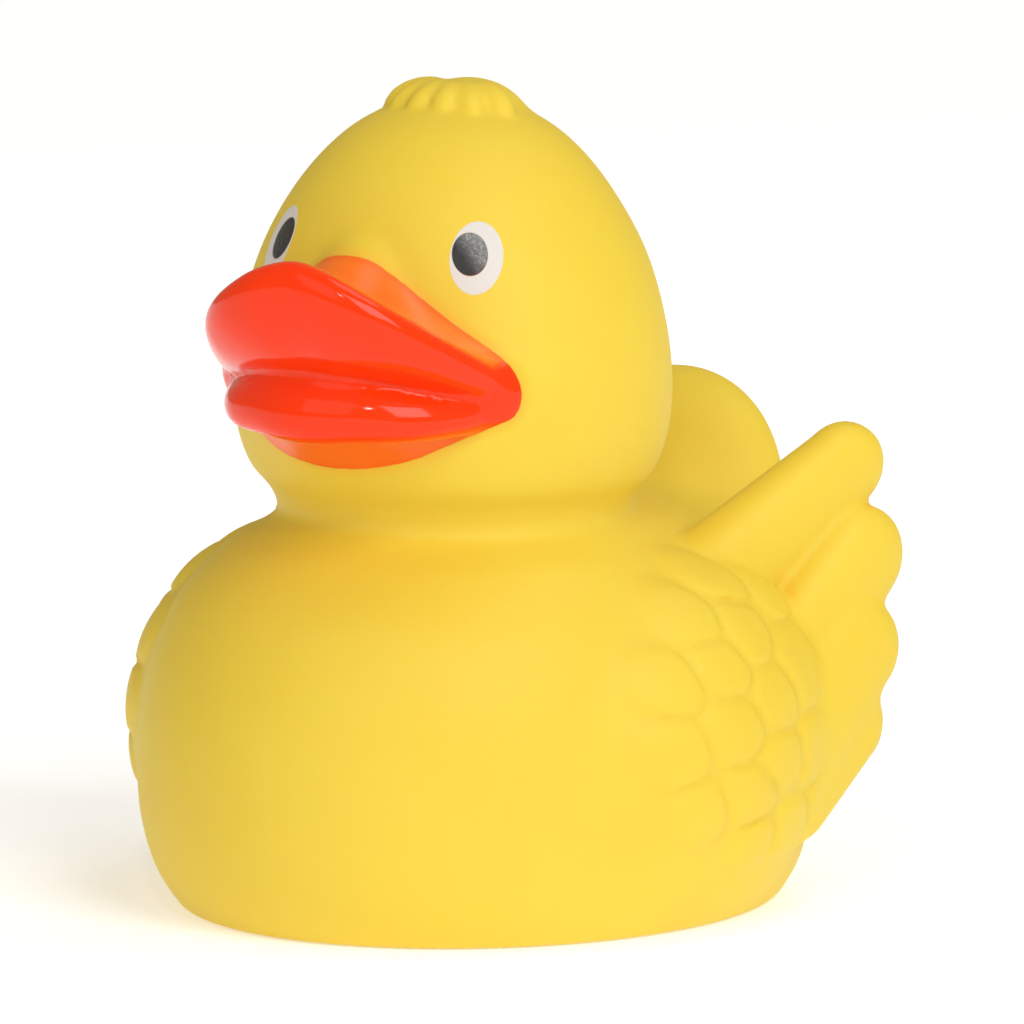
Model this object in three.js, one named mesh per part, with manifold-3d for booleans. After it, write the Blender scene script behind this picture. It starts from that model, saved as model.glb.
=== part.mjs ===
// Rubber duck: a hollow bath duck of soft vinyl, moulded in one piece, with a squeaker
// pushed into the hole in its base. Millimetres, +Z up. The bill points to -Y, the duck's
// left side is +X, and the origin is on the floor under the middle of its box.
import * as THREE from 'three';
import { mergeVertices } from 'three/addons/utils/BufferGeometryUtils.js';
import Module from 'manifold-3d';

const wasm = await Module();
wasm.setup();

// ---------------------------------------------------------------- driving dimensions
const WALL = 2.2;                 // vinyl wall
const BODY_TOP = 77.8;            // top of the head, under the tuft
const BASE_CORNER = 0.8;          // bevel round the foot
const FOOT_RING = 4.5;            // width of the flat ring that the duck stands on
const RECESS = 1.5;               // the base inside the foot ring is this much higher
const HOLE_RADIUS = 5.5;          // hole for the squeaker
const SQUEAKER_Y = 0;             // the hole's place along the duck
const FIT = 0.3;                  // gap between pieces that meet
const AROUND = 36;                // facets round the body
const RINGS = 20;                 // rings up the body

const LARGE_FACETS = 18;          // facets round a large lobe
const SMALL_FACETS = 8;           // facets round a feather or tuft lobe
const BAR_FACETS = 10;            // facets round a bar of the bill
const BAR_STEPS = 20;             // steps along it

// Level sections of the body and head: height, half width, middle's y, length over width.
const SECTIONS = [
  [0.0, 26.6, 0.6, 1.26],
  [3.0, 28.5, 0.3, 1.25],
  [8.0, 29.9, -0.4, 1.24],
  [14.0, 30.2, -1.2, 1.22],
  [20.0, 29.6, -2.0, 1.20],
  [26.0, 27.8, -3.0, 1.17],
  [31.0, 25.0, -4.0, 1.13],
  [34.6, 21.4, -4.9, 1.08],
  [37.6, 17.0, -5.6, 1.03],
  [40.0, 17.2, -6.0, 1.02],
  [42.3, 19.0, -6.2, 1.02],
  [45.0, 20.1, -6.3, 1.02],
  [49.0, 20.6, -6.3, 1.03],
  [53.0, 20.5, -6.3, 1.03],
  [58.0, 19.7, -6.4, 1.02],
  [63.0, 18.1, -6.5, 1.03],
  [68.0, 15.5, -6.6, 1.03],
  [72.0, 12.5, -6.6, 1.03],
  [75.0, 9.1, -6.6, 1.03],
  [BODY_TOP, 0.0, -6.6, 1.03],
];

// Rounded lobes that stand out of the body: middle, half sizes along, across and out, and
// the directions of along and out.
const RUMP = { at: [0, 15, 24], half: [20, 20, 14], along: [1, 0, 0], out: [0, 0, 1] };
const TAIL_ROOT = { at: [0, 25.5, 26.5], half: [14, 10.5, 12], along: [1, 0, 0], out: [0, 0, 1] };
const TAIL = { at: [0, 31.8, 32], half: [14, 7, 16.7], along: [1, 0, 0], out: [0, 0.5, 1] };
const WING = { at: [24, 0, 18.4], half: [17.6, 14.2, 9.2], along: [0, 1, 0.15], out: [1, 0, 0.08] };
const MOUND = { at: [0, -4.4, 75.8], half: [4.7, 5.3, 3.1], along: [1, 0, 0], out: [0, 0, 1] };

// Flight feathers of one wing, from the middle of the root's end to the middle of the tip's,
// with the radius of those ends.
const FEATHERS = [
  { root: [22.0, 5.6, 29.8], tip: [28.6, 18.7, 41.8], radius: 5.7 },
  { root: [28.0, 8.2, 24.0], tip: [30.7, 18.3, 33.6], radius: 5.9 },
  { root: [29.5, 9.2, 17.6], tip: [31.0, 18.0, 24.5], radius: 5.3 },
  { root: [28.9, 8.8, 11.6], tip: [30.6, 16.3, 17.5], radius: 4.7 },
];
const FEATHER_FLAT = 0.6;         // thickness over width
const FEATHER_FACE = [1, -0.12, 0.1]; // the way a feather's face looks
const FEATHER_CAP = 3;            // rings in a feather's round end

// Small covert feathers on the wing: middle's y and z, and half sizes along and across.
const COVERTS = [
  [-1.2, 33.2, 3.6, 2.2],
  [5.8, 31.6, 3.5, 2.8],
  [-8.6, 30.4, 3.3, 2.9],
  [-2.8, 28.5, 3.4, 3.1],
  [-7.9, 25.9, 3.6, 3.1],
  [-14.4, 24.8, 3.5, 3.2],
  [-1.0, 22.5, 4.2, 3.0],
  [5.0, 24.4, 4.8, 3.7],
  [-8.3, 20.0, 4.1, 3.2],
  [-15.0, 18.6, 3.9, 3.3],
  [-0.8, 16.2, 4.2, 2.7],
  [5.8, 16.8, 3.7, 3.4],
  [-6.0, 13.7, 4.6, 2.9],
  [-11.8, 12.4, 3.7, 2.9],
  [-3.4, 8.7, 3.4, 2.4],
  [3.2, 9.4, 4.3, 2.7],
  [9.2, 11.2, 3.3, 2.4],
];
const COVERT_THICK = 2.3;         // half thickness of a covert feather
const COVERT_PROUD = 1.0;         // how far its face stands out of the wing

// Tuft on the crown: its lobes lean out at these bearings from straight ahead, in degrees.
const TUFT_BEARINGS = [-76, -46, -16, 16, 46, 76];
const TUFT = { z: 76.8, y: -5.4, reach: 4.0, half: [3.6, 1.9, 2.3], droop: -0.3 };

// Bill. Its parts are bars carried round the face, about an upright line at BILL_AXIS_Y.
// A row is a bearing from straight ahead in degrees, the bar's distance from that line, its
// height, its half sizes outwards and upwards, and its lean in degrees, where minus leans the
// top outwards.
const BILL_AXIS_Y = -9;
const BILL_ROOT = [
  [0, 15.0, 54.4, 9.2, 9.9, 0],
  [10, 15.0, 53.8, 8.9, 9.3, 0],
  [20, 14.6, 52.2, 7.6, 7.4, 0],
  [30, 14.0, 50.9, 6.1, 5.4, 0],
  [40, 13.6, 50.7, 5.2, 4.2, 0],
  [50, 13.4, 50.9, 5.0, 3.2, 0],
  [58, 13.0, 51.2, 4.9, 2.0, 0],
];
const UPPER_LIP = [
  [0, 25.3, 59.3, 2.8, 5.6, -24],
  [8, 25.3, 58.8, 2.8, 5.3, -28],
  [15, 24.4, 57.5, 2.7, 4.7, -36],
  [23, 22.9, 56.0, 2.4, 4.1, -45],
  [30, 21.6, 54.8, 2.1, 3.6, -51],
  [37, 20.4, 53.8, 1.9, 2.9, -52],
  [44, 19.4, 52.9, 1.7, 2.2, -53],
  [51, 18.4, 52.2, 1.5, 1.5, -50],
];
const LOWER_LIP = [
  [0, 23.6, 50.6, 2.8, 3.5, 20],
  [15, 22.8, 50.6, 2.7, 3.1, 28],
  [23, 21.9, 50.5, 2.5, 3.0, 40],
  [30, 20.8, 50.5, 2.2, 2.7, 49],
  [37, 19.8, 50.4, 2.0, 2.0, 52],
  [44, 18.8, 50.2, 1.8, 1.5, 52],
  [51, 17.9, 50.2, 1.5, 0.9, 50],
];

// Rounded end of the mouth at each side: bearing in degrees, distance from the bill's line,
// height, and half sizes along the face, up it and out of it.
const MOUTH_END = { bearing: 47.5, reach: 18.4, z: 51.9, half: [2.7, 3.1, 2.4] };

// Squeaker: a cup that snaps into the base, and a reed plate held in it by a ring.
const FLANGE_RADIUS = 7.6;
const FLANGE_THICK = 0.9;
const BARB_RADIUS = 6.6;
const BARB_HEIGHT = 2.2;
const CUP_HEIGHT = 9.0;           // from the flange's outer face to the cup's inner end
const CUP_WALL = 1.4;
const SEAT_STEP = 0.8;            // ledge in the cup that the reed plate lies on
const AIR_HOLE_RADIUS = 1.3;
const PLATE_THICK = 0.3;
const REED_WIDTH = 1.8;
const REED_LENGTH = 4.6;
const REED_SLOT = 0.4;
const RING_THICK = 1.0;
const RING_WIDTH = 1.2;
const SMALL_AROUND = 24;          // facets round the squeaker's parts

const VINYL_YELLOW = { color: 0xeec63c, roughness: 0.45, metalness: 0 };
const SQUEAKER_WHITE = { color: 0xe9e7df, roughness: 0.5, metalness: 0 };
const REED_BRASS = { color: 0xc9a24a, roughness: 0.3, metalness: 1 };

// ---------------------------------------------------------------- solids
// Makes a solid of a closed geometry. An inset moves every vertex in along its normal.
function solidOf(geometry, inset = 0) {
  geometry.deleteAttribute('normal');
  geometry.deleteAttribute('uv');
  const closed = mergeVertices(geometry, 1e-3);
  const position = closed.getAttribute('position');
  if (inset > 0) {
    closed.computeVertexNormals();
    const normal = closed.getAttribute('normal');
    for (let i = 0; i < position.count; i += 1) {
      position.setXYZ(
        i,
        position.getX(i) - inset * normal.getX(i),
        position.getY(i) - inset * normal.getY(i),
        position.getZ(i) - inset * normal.getZ(i),
      );
    }
  }
  const mesh = new wasm.Mesh({
    numProp: 3,
    vertProperties: Float32Array.from(position.array),
    triVerts: Uint32Array.from(closed.getIndex().array),
  });
  return new wasm.Manifold(mesh);
}

// Turns a solid back into a geometry with flat facets.
function geometryOf(solid) {
  const mesh = solid.getMesh();
  const geometry = new THREE.BufferGeometry();
  geometry.setAttribute('position', new THREE.BufferAttribute(mesh.vertProperties, 3));
  geometry.setIndex(new THREE.BufferAttribute(mesh.triVerts, 1));
  geometry.computeVertexNormals();
  return geometry;
}

// Smooth values between the rows of a table, looked up by the table's first column.
function tableOf(rows) {
  const keys = rows.map((row) => row[0]);
  const values = rows.flatMap((row) => row.slice(1));
  const curve = new THREE.CubicInterpolant(keys, values, rows[0].length - 1);
  return (key) => curve.evaluate(key);
}

// A turned solid: radius and height pairs, from the axis and back to it.
function turned(profile, around = SMALL_AROUND) {
  const points = profile.map(([radius, height]) => new THREE.Vector2(radius, height));
  return new THREE.LatheGeometry(points, around).rotateX(Math.PI / 2);
}

// A lobe: a ball stretched by its half sizes and turned to its directions. side is 1 for
// the left of the duck and -1 for the right.
function lobe({ at, half, along, out }, side = 1, facets = SMALL_FACETS) {
  const mirror = new THREE.Vector3(side, 1, 1);
  const first = new THREE.Vector3(...along).multiply(mirror).normalize();
  const outward = new THREE.Vector3(...out).multiply(mirror);
  const third = outward.addScaledVector(first, -outward.dot(first)).normalize();
  const second = new THREE.Vector3().crossVectors(third, first);
  const middle = new THREE.Vector3(...at).multiply(mirror);
  const place = new THREE.Matrix4().makeBasis(first, second, third).setPosition(middle);
  return new THREE.SphereGeometry(1, facets, Math.ceil(facets * 0.6))
    .rotateX(Math.PI / 2)
    .scale(...half)
    .applyMatrix4(place);
}

// ---------------------------------------------------------------- body
// Body and head: a turned form whose level rings are stretched and shifted along Y.
function bodyForm() {
  const section = tableOf(SECTIONS.map(([z, half, middle, ratio]) => [z, half * half, middle, ratio]));
  const halfAt = (z) => Math.sqrt(Math.max(section(z)[0], 0));
  const profile = [[0, 0], [halfAt(0) - BASE_CORNER, 0]];
  for (let i = 0; i < RINGS; i += 1) {
    const z = BASE_CORNER + (BODY_TOP - BASE_CORNER) * Math.sin((i / RINGS) * Math.PI / 2);
    profile.push([halfAt(z), z]);
  }
  profile.push([0, BODY_TOP]);
  const geometry = turned(profile, AROUND);
  const position = geometry.getAttribute('position');
  for (let i = 0; i < position.count; i += 1) {
    const [, middle, ratio] = section(position.getZ(i));
    position.setY(i, middle + ratio * position.getY(i));
  }
  return geometry;
}

// A bar of the bill: a closed cylinder whose length runs round the face from one corner of
// the mouth to the other, and whose round section takes the table's half sizes and lean.
function billBar(rows) {
  const table = tableOf(rows);
  const reach = rows[rows.length - 1][0];
  const geometry = new THREE.CylinderGeometry(1, 1, 2, BAR_FACETS, BAR_STEPS);
  const position = geometry.getAttribute('position');
  for (let i = 0; i < position.count; i += 1) {
    const bearing = reach * position.getY(i);
    const [distance, height, halfOut, halfUp, lean] = table(Math.abs(bearing));
    const tilt = THREE.MathUtils.degToRad(lean);
    const out = halfOut * position.getX(i);
    const up = halfUp * position.getZ(i);
    const radius = distance + out * Math.cos(tilt) - up * Math.sin(tilt);
    const angle = THREE.MathUtils.degToRad(bearing);
    position.setXYZ(
      i,
      radius * Math.sin(angle),
      BILL_AXIS_Y - radius * Math.cos(angle),
      height + out * Math.sin(tilt) + up * Math.cos(tilt),
    );
  }
  return geometry;
}

// The forms that are hollow inside: body, rump, tail, wings and the root of the bill.
function hollowForms(inset) {
  return [
    solidOf(bodyForm(), inset),
    solidOf(lobe(RUMP, 1, LARGE_FACETS), inset),
    solidOf(lobe(TAIL_ROOT, 1, LARGE_FACETS), inset),
    solidOf(lobe(TAIL, 1, LARGE_FACETS), inset),
    solidOf(lobe(WING, 1, LARGE_FACETS), inset),
    solidOf(lobe(WING, -1, LARGE_FACETS), inset),
    solidOf(billBar(BILL_ROOT), inset),
  ].reduce((whole, form) => whole.add(form));
}

// A feather: a bar with round ends from root to tip, flattened towards the wing.
function feather({ root, tip, radius }, side) {
  const mirror = new THREE.Vector3(side, 1, 1);
  const start = new THREE.Vector3(...root).multiply(mirror);
  const end = new THREE.Vector3(...tip).multiply(mirror);
  const along = end.clone().sub(start);
  const length = along.length();
  along.normalize();
  const outward = new THREE.Vector3(...FEATHER_FACE).multiply(mirror);
  const out = outward.addScaledVector(along, -outward.dot(along)).normalize();
  const across = new THREE.Vector3().crossVectors(along, out);
  const middle = start.add(end).divideScalar(2);
  const place = new THREE.Matrix4().makeBasis(across, along, out).setPosition(middle);
  const form = new THREE.CapsuleGeometry(radius, length, FEATHER_CAP, SMALL_FACETS);
  return solidOf(form.scale(1, 1, FEATHER_FLAT).applyMatrix4(place));
}

// A covert feather lies on the wing or the body, whichever stands further out there.
function covert([y, z, long, wide], side) {
  const facing = (atY, atZ) => Math.max(wingFace(atY, atZ), bodyFace(atY, atZ));
  const x = facing(y, z);
  const step = 1;
  const out = new THREE.Vector3(
    1,
    (facing(y - step, z) - facing(y + step, z)) / (2 * step),
    (facing(y, z - step) - facing(y, z + step)) / (2 * step),
  ).normalize();
  const middle = new THREE.Vector3(x, y, z).addScaledVector(out, COVERT_PROUD - COVERT_THICK);
  const shape = {
    at: middle.toArray(),
    half: [long, wide, COVERT_THICK],
    along: [0, 1, -0.35],
    out: out.toArray(),
  };
  return solidOf(lobe(shape, side));
}

const bodySection = tableOf(SECTIONS);

// Half width of the body at a place along it and a height.
function bodyFace(y, z) {
  const [half, middle, ratio] = bodySection(z);
  const share = (y - middle) / (half * ratio);
  return half * Math.sqrt(Math.max(1 - share * share, 0));
}

// Half width of the wing's lobe at a place along it and a height.
function wingFace(y, z) {
  const share = Math.hypot((y - WING.at[1]) / WING.half[0], (z - WING.at[2]) / WING.half[1]);
  return WING.at[0] + WING.half[2] * Math.sqrt(Math.max(1 - share * share, 0));
}

function tuftLobe(bearing) {
  const angle = THREE.MathUtils.degToRad(bearing);
  const ahead = new THREE.Vector3(Math.sin(angle), -Math.cos(angle), 0);
  const middle = new THREE.Vector3(0, TUFT.y, TUFT.z).addScaledVector(ahead, TUFT.reach);
  const shape = {
    at: middle.toArray(),
    half: TUFT.half,
    along: [ahead.x, ahead.y, TUFT.droop],
    out: [0, 0, 1],
  };
  return solidOf(lobe(shape));
}

function mouthEnd(side) {
  const angle = THREE.MathUtils.degToRad(MOUTH_END.bearing) * side;
  const [across, ahead] = [Math.sin(angle), -Math.cos(angle)];
  const shape = {
    at: [across * MOUTH_END.reach, BILL_AXIS_Y + ahead * MOUTH_END.reach, MOUTH_END.z],
    half: MOUTH_END.half,
    along: [-ahead, across, 0],
    out: [across, ahead, 0],
  };
  return solidOf(lobe(shape));
}

// The shallow pocket in the base, inside the foot ring.
function baseRecess() {
  const [half, middle, ratio] = bodySection(0);
  const width = half - FOOT_RING;
  const length = half * ratio - FOOT_RING;
  const pocket = new THREE.CylinderGeometry(1, 1, 2 * RECESS, AROUND).rotateX(Math.PI / 2);
  return solidOf(pocket.scale(width, length, 1).translate(0, middle, 0));
}

function duckBody() {
  let whole = hollowForms(0);
  for (const side of [1, -1]) {
    FEATHERS.forEach((shape) => { whole = whole.add(feather(shape, side)); });
    COVERTS.forEach((row) => { whole = whole.add(covert(row, side)); });
    whole = whole.add(mouthEnd(side));
  }
  TUFT_BEARINGS.forEach((bearing) => { whole = whole.add(tuftLobe(bearing)); });
  whole = whole.add(solidOf(lobe(MOUND, 1, LARGE_FACETS)));
  whole = whole.add(solidOf(billBar(UPPER_LIP)));
  whole = whole.add(solidOf(billBar(LOWER_LIP)));
  const underFloor = new THREE.BoxGeometry(200, 200, 20).translate(0, 0, RECESS + WALL - 10);
  const hollow = hollowForms(WALL).subtract(solidOf(underFloor));
  const hole = new THREE.CylinderGeometry(HOLE_RADIUS, HOLE_RADIUS, 20, SMALL_AROUND);
  hole.rotateX(Math.PI / 2).translate(0, SQUEAKER_Y, 0);
  return whole.subtract(hollow).subtract(baseRecess()).subtract(solidOf(hole));
}

// ---------------------------------------------------------------- squeaker
const NECK_RADIUS = HOLE_RADIUS - FIT;
const BORE_RADIUS = NECK_RADIUS - CUP_WALL;
const SEAT_RADIUS = BORE_RADIUS + SEAT_STEP;
const FLANGE_TOP = RECESS - FIT;
const CUP_TOP = FLANGE_TOP - FLANGE_THICK + CUP_HEIGHT;
const LEDGE = CUP_TOP - RING_THICK - PLATE_THICK - 2 * FIT;

// The cup grips the base wall between its flange outside and its barb inside.
function squeakerCup() {
  const outerFace = FLANGE_TOP - FLANGE_THICK;
  const barbStart = RECESS + WALL + FIT;
  return turned([
    [AIR_HOLE_RADIUS, outerFace],
    [FLANGE_RADIUS, outerFace],
    [FLANGE_RADIUS, FLANGE_TOP],
    [NECK_RADIUS, FLANGE_TOP],
    [NECK_RADIUS, barbStart],
    [BARB_RADIUS, barbStart],
    [NECK_RADIUS, barbStart + BARB_HEIGHT],
    [NECK_RADIUS, CUP_TOP],
    [SEAT_RADIUS, CUP_TOP],
    [SEAT_RADIUS, LEDGE],
    [BORE_RADIUS, LEDGE],
    [BORE_RADIUS, FLANGE_TOP],
    [AIR_HOLE_RADIUS, FLANGE_TOP],
    [AIR_HOLE_RADIUS, outerFace],
  ]);
}

// A thin disc with a slot round three sides of a tongue, which is the reed.
function reedPlate() {
  const plate = new THREE.Shape().absarc(0, 0, SEAT_RADIUS - FIT, 0, 2 * Math.PI);
  const half = REED_WIDTH / 2;
  const end = REED_LENGTH / 2;
  const outer = half + REED_SLOT;
  plate.holes.push(new THREE.Path([
    new THREE.Vector2(-outer, -end),
    new THREE.Vector2(-outer, end),
    new THREE.Vector2(outer, end),
    new THREE.Vector2(outer, -end),
    new THREE.Vector2(half, -end),
    new THREE.Vector2(half, end - REED_SLOT),
    new THREE.Vector2(-half, end - REED_SLOT),
    new THREE.Vector2(-half, -end),
  ]));
  const form = { depth: PLATE_THICK, bevelEnabled: false, curveSegments: SMALL_AROUND };
  return new THREE.ExtrudeGeometry(plate, form);
}

// The ring pressed into the cup's end over the reed plate.
function retainingRing() {
  const outer = SEAT_RADIUS - FIT;
  return turned([
    [outer - RING_WIDTH, 0],
    [outer, 0],
    [outer, RING_THICK],
    [outer - RING_WIDTH, RING_THICK],
    [outer - RING_WIDTH, 0],
  ]);
}

// ---------------------------------------------------------------- assembly
function named(name, geometry, look, height = 0) {
  const mesh = new THREE.Mesh(geometry, new THREE.MeshStandardMaterial(look));
  mesh.name = name;
  mesh.position.z = height;
  return mesh;
}

const squeaker = new THREE.Group();
squeaker.position.y = SQUEAKER_Y;
squeaker.add(
  named('squeaker_cup', squeakerCup(), SQUEAKER_WHITE),
  named('squeaker_reed_plate', reedPlate(), REED_BRASS, LEDGE + FIT),
  named('squeaker_ring', retainingRing(), SQUEAKER_WHITE, LEDGE + 2 * FIT + PLATE_THICK),
);

const duck = new THREE.Group();
duck.add(named('duck_body', geometryOf(duckBody()), VINYL_YELLOW), squeaker);

// The duck is moved along Y until the middle of its length is at the origin.
const extent = new THREE.Box3().setFromObject(duck);
duck.position.y = -(extent.min.y + extent.max.y) / 2;

export default duck;
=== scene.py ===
"""A toy duck of soft vinyl: one hollow cast skin with a painted bill and eyes, and a squeaker in
its base.

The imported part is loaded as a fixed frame, in metres, with the front along -Y, the duck's left side
along +X and up along +Z. Shapes are worked out in millimetres, and the finished skin is put in the
middle of the frame's box.
"""

import math

import bpy
import numpy as np
from bpy.props import FloatProperty, FloatVectorProperty, PointerProperty
from mathutils import Matrix, Vector


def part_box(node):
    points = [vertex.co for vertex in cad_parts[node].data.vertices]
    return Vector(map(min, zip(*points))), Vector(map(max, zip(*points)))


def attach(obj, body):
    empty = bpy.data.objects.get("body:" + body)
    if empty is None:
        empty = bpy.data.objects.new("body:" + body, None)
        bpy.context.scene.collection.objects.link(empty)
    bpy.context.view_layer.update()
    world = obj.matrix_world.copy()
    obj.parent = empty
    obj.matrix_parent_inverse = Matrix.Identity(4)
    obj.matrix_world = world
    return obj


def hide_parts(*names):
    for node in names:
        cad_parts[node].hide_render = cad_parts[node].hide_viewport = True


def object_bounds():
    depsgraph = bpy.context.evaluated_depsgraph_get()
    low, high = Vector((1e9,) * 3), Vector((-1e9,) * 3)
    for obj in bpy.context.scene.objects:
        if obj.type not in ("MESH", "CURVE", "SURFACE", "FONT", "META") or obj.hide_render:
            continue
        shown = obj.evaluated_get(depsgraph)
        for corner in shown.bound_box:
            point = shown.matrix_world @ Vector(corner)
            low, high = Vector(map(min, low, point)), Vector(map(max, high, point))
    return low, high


bl_info = {
    "name": "Bath Duck",
    "version": (1, 0, 0),
    "blender": (4, 5, 0),
    "location": "3D View > Sidebar > Duck",
    "description": "Builds a toy duck of painted vinyl with its squeaker, and a plain studio",
    "category": "Add Mesh",
}

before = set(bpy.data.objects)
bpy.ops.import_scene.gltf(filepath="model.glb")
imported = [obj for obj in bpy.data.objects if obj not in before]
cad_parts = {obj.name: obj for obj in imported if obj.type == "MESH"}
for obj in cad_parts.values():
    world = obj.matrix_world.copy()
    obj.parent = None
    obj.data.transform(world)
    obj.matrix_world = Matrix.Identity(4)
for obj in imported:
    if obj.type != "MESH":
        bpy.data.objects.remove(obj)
CAD_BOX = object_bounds()

MM = 0.001

# The studio: how far under the duck the floor lies, how far it goes from the middle, its glow, and
# the colour of the light from all round. Each soft light's place from the base's middle, and width.
FLOOR_GAP, FLOOR_REACH, FLOOR_GLOW = 0.00005, 6.0, 0.42
ROOM_COLOUR = (1, 0.9, 0.7, 1)
SOFT_LIGHTS = {
    "key": ((2.9, -1.5, 2.4), 2.4),
    "fill": ((-0.4, -3.2, 2.0), 2.6),
    "glint": ((1.4, -2.8, 2.5), 0.24),
    "top": ((0.9, 0.9, 3.1), 1.5),
}
LIGHTS_AIM = (0, 0, 0.04)

# ---------------------------------------------------------------- the duck's form, in millimetres

# Cross sections of body and head: height, half width, middle along the length, length over width.
SECTIONS = np.array([
    (-3.0, 24.4, 0.6, 1.26),
    (0.0, 26.6, 0.6, 1.26),
    (3.0, 28.5, 0.3, 1.25),
    (8.0, 29.9, -0.4, 1.24),
    (14.0, 30.2, -1.2, 1.22),
    (20.0, 29.6, -2.0, 1.2),
    (26.0, 27.8, -3.0, 1.17),
    (31.0, 25.0, -4.0, 1.13),
    (34.6, 21.4, -4.9, 1.08),
    (37.6, 17.0, -5.6, 1.03),
    (40.0, 17.2, -6.0, 1.02),
    (42.3, 19.0, -6.2, 1.02),
    (45.0, 20.1, -6.3, 1.02),
    (49.0, 20.6, -6.3, 1.03),
    (53.0, 20.5, -6.4, 1.03),
    (58.0, 19.7, -6.5, 1.02),
    (63.0, 18.1, -6.6, 1.03),
    (68.0, 15.5, -6.8, 1.03),
    (72.0, 12.5, -6.8, 1.03),
    (75.0, 9.1, -6.8, 1.03),
    (77.8, 0.0, -6.8, 1.03),
])
BASE_CORNER = 0.8

# Rump and fan tail: centre, half sizes, the two directions that the sizes are laid along, blend.
RUMP = ((0, 15, 24), (20, 20, 14), (1, 0, 0), (0, 0, 1), 10.0)
TAIL = ((0, 31.8, 32), (14.0, 7.0, 16.7), (1, 0, 0), (0, 0.5, 1), 8.0)

# The wing: a low pad on the flank, and four flight feathers from root to tip with the radius at
# each.
WING_PAD = ((24.0, 0.0, 18.4), (17.6, 14.2, 9.2), (0, 1, 0.15), (1, 0, 0.08), 5.0)
FEATHERS = (
    ((20.2, 7.6, 28.9), (28.4, 18.7, 41.8), 7.6, 4.4),
    ((26.4, 9.8, 21.4), (29.9, 19.4, 33.1), 5.9, 5.1),
    ((29.5, 9.2, 17.6), (31.0, 17.8, 24.7), 6.0, 4.8),
    ((28.9, 8.8, 11.6), (30.6, 16.3, 17.5), 4.9, 4.4),
)
FEATHER_FLAT = 0.6
FEATHER_SQUARE = 2.4
FEATHER_FACE = (1, -0.12, 0.1)
FEATHER_BLEND = 1.0

# Wing coverts, low pillows with creases between them: place along and up, half sizes along and up.
COVERTS = (
    (-1.2, 33.2, 3.6, 2.2), (5.8, 31.6, 3.5, 2.8), (-8.6, 30.4, 3.3, 2.9), (-2.8, 28.5, 3.4, 3.1),
    (-7.9, 25.9, 3.6, 3.1), (-14.4, 24.8, 3.5, 3.2), (-1.0, 22.5, 4.2, 3.0), (5.0, 24.4, 4.8, 3.7),
    (-8.3, 20.0, 4.1, 3.2), (-15.0, 18.6, 3.9, 3.3), (-0.8, 16.2, 4.2, 2.7), (5.8, 16.8, 3.7, 3.4),
    (-6.0, 13.7, 4.6, 2.9), (-11.8, 12.4, 3.7, 2.9), (-3.4, 8.7, 3.4, 2.4), (3.2, 9.4, 4.3, 2.7),
    (9.2, 11.2, 3.3, 2.4),
)
COVERT_RISE, COVERT_CREASE = 0.8, 0.38
# A covert's height in its crease and at its middle, how fast it falls from there, and its edge.
CREASE_HEIGHT, DOME_HEIGHT, DOME_FALL = 0.4, 0.9, 0.3
COVERT_EDGE, COVERT_FADE = 1.35, 0.5
# The flank that carries them: how far out it starts, how much further they reach their full
# height, and how near the skin a point has to be.
FLANK_START, FLANK_FULL, FLANK_DEPTH = 17, 5, 3

# The bill's bars, carried round the face about an upright line: bearing, distance, height, half
# thickness, half height, lean in degrees (minus leans the top outward).
BILL_LINE = -9.0
BILL_ROOT = (
    (0, 15.0, 54.4, 9.2, 9.9, 0), (10, 15.0, 53.8, 8.9, 9.3, 0), (20, 14.6, 52.2, 7.0, 7.4, 0),
    (30, 14.0, 50.9, 5.4, 5.4, 0), (40, 13.6, 50.7, 4.8, 4.2, 0), (50, 13.4, 50.9, 5.0, 3.0, 0),
    (58, 13.0, 51.2, 4.9, 2.0, 0), (63, 13.0, 51.4, 4.4, 1.2, 0),
)
UPPER_LIP = (
    (0, 25.4, 59.4, 2.8, 5.7, -25.0), (8, 25.5, 58.9, 2.8, 5.4, -29.0),
    (15, 24.8, 57.8, 2.7, 5.1, -38.0), (23, 23.4, 56.3, 2.4, 4.7, -47.0),
    (30, 21.9, 55.0, 2.1, 4.0, -51.0), (37, 20.5, 53.9, 1.9, 3.1, -52.0),
    (44, 19.4, 53.0, 1.7, 2.2, -52.0), (51, 18.4, 52.2, 1.5, 1.5, -50.0),
)
LOWER_LIP = (
    (0, 23.7, 50.2, 2.5, 3.0, 21.0), (15, 22.9, 50.2, 2.4, 2.7, 29.0),
    (23, 22.1, 50.1, 2.2, 2.6, 43.0), (30, 21.0, 50.0, 2.0, 2.3, 53.0),
    (37, 19.9, 49.9, 1.8, 1.8, 57.0), (44, 18.8, 49.9, 1.6, 1.3, 59.0),
    (51, 17.9, 50.0, 1.4, 0.8, 55.0),
)
# The lower lip's thin upper edge, along the mouth.
MOUTH_EDGE = (
    (0, 22.8, 52.6, 1.5, 1.3, 30), (15, 22.1, 52.3, 1.5, 1.3, 30), (23, 20.9, 52.0, 1.4, 1.2, 30),
    (30, 19.9, 51.7, 1.3, 1.1, 30), (37, 19.2, 51.3, 1.2, 1.0, 30),
    (44, 18.6, 51.0, 1.1, 0.9, 30), (51, 17.9, 50.9, 1.0, 0.8, 20),
)
ROOT_BLEND, UPPER_BLEND, LOWER_BLEND, EDGE_BLEND = 3.5, 1.6, 0.7, 1.6
# How far it is from a bar's last row to a point one degree past it.
BAR_END = 0.3
# The raised end of the mouth: bearing, distance and height, three half sizes, blend.
MOUTH_END, MOUTH_END_SIZES, MOUTH_END_BLEND = (47.5, 18.4, 51.9), (2.7, 3.1, 2.4), 1.0

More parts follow.
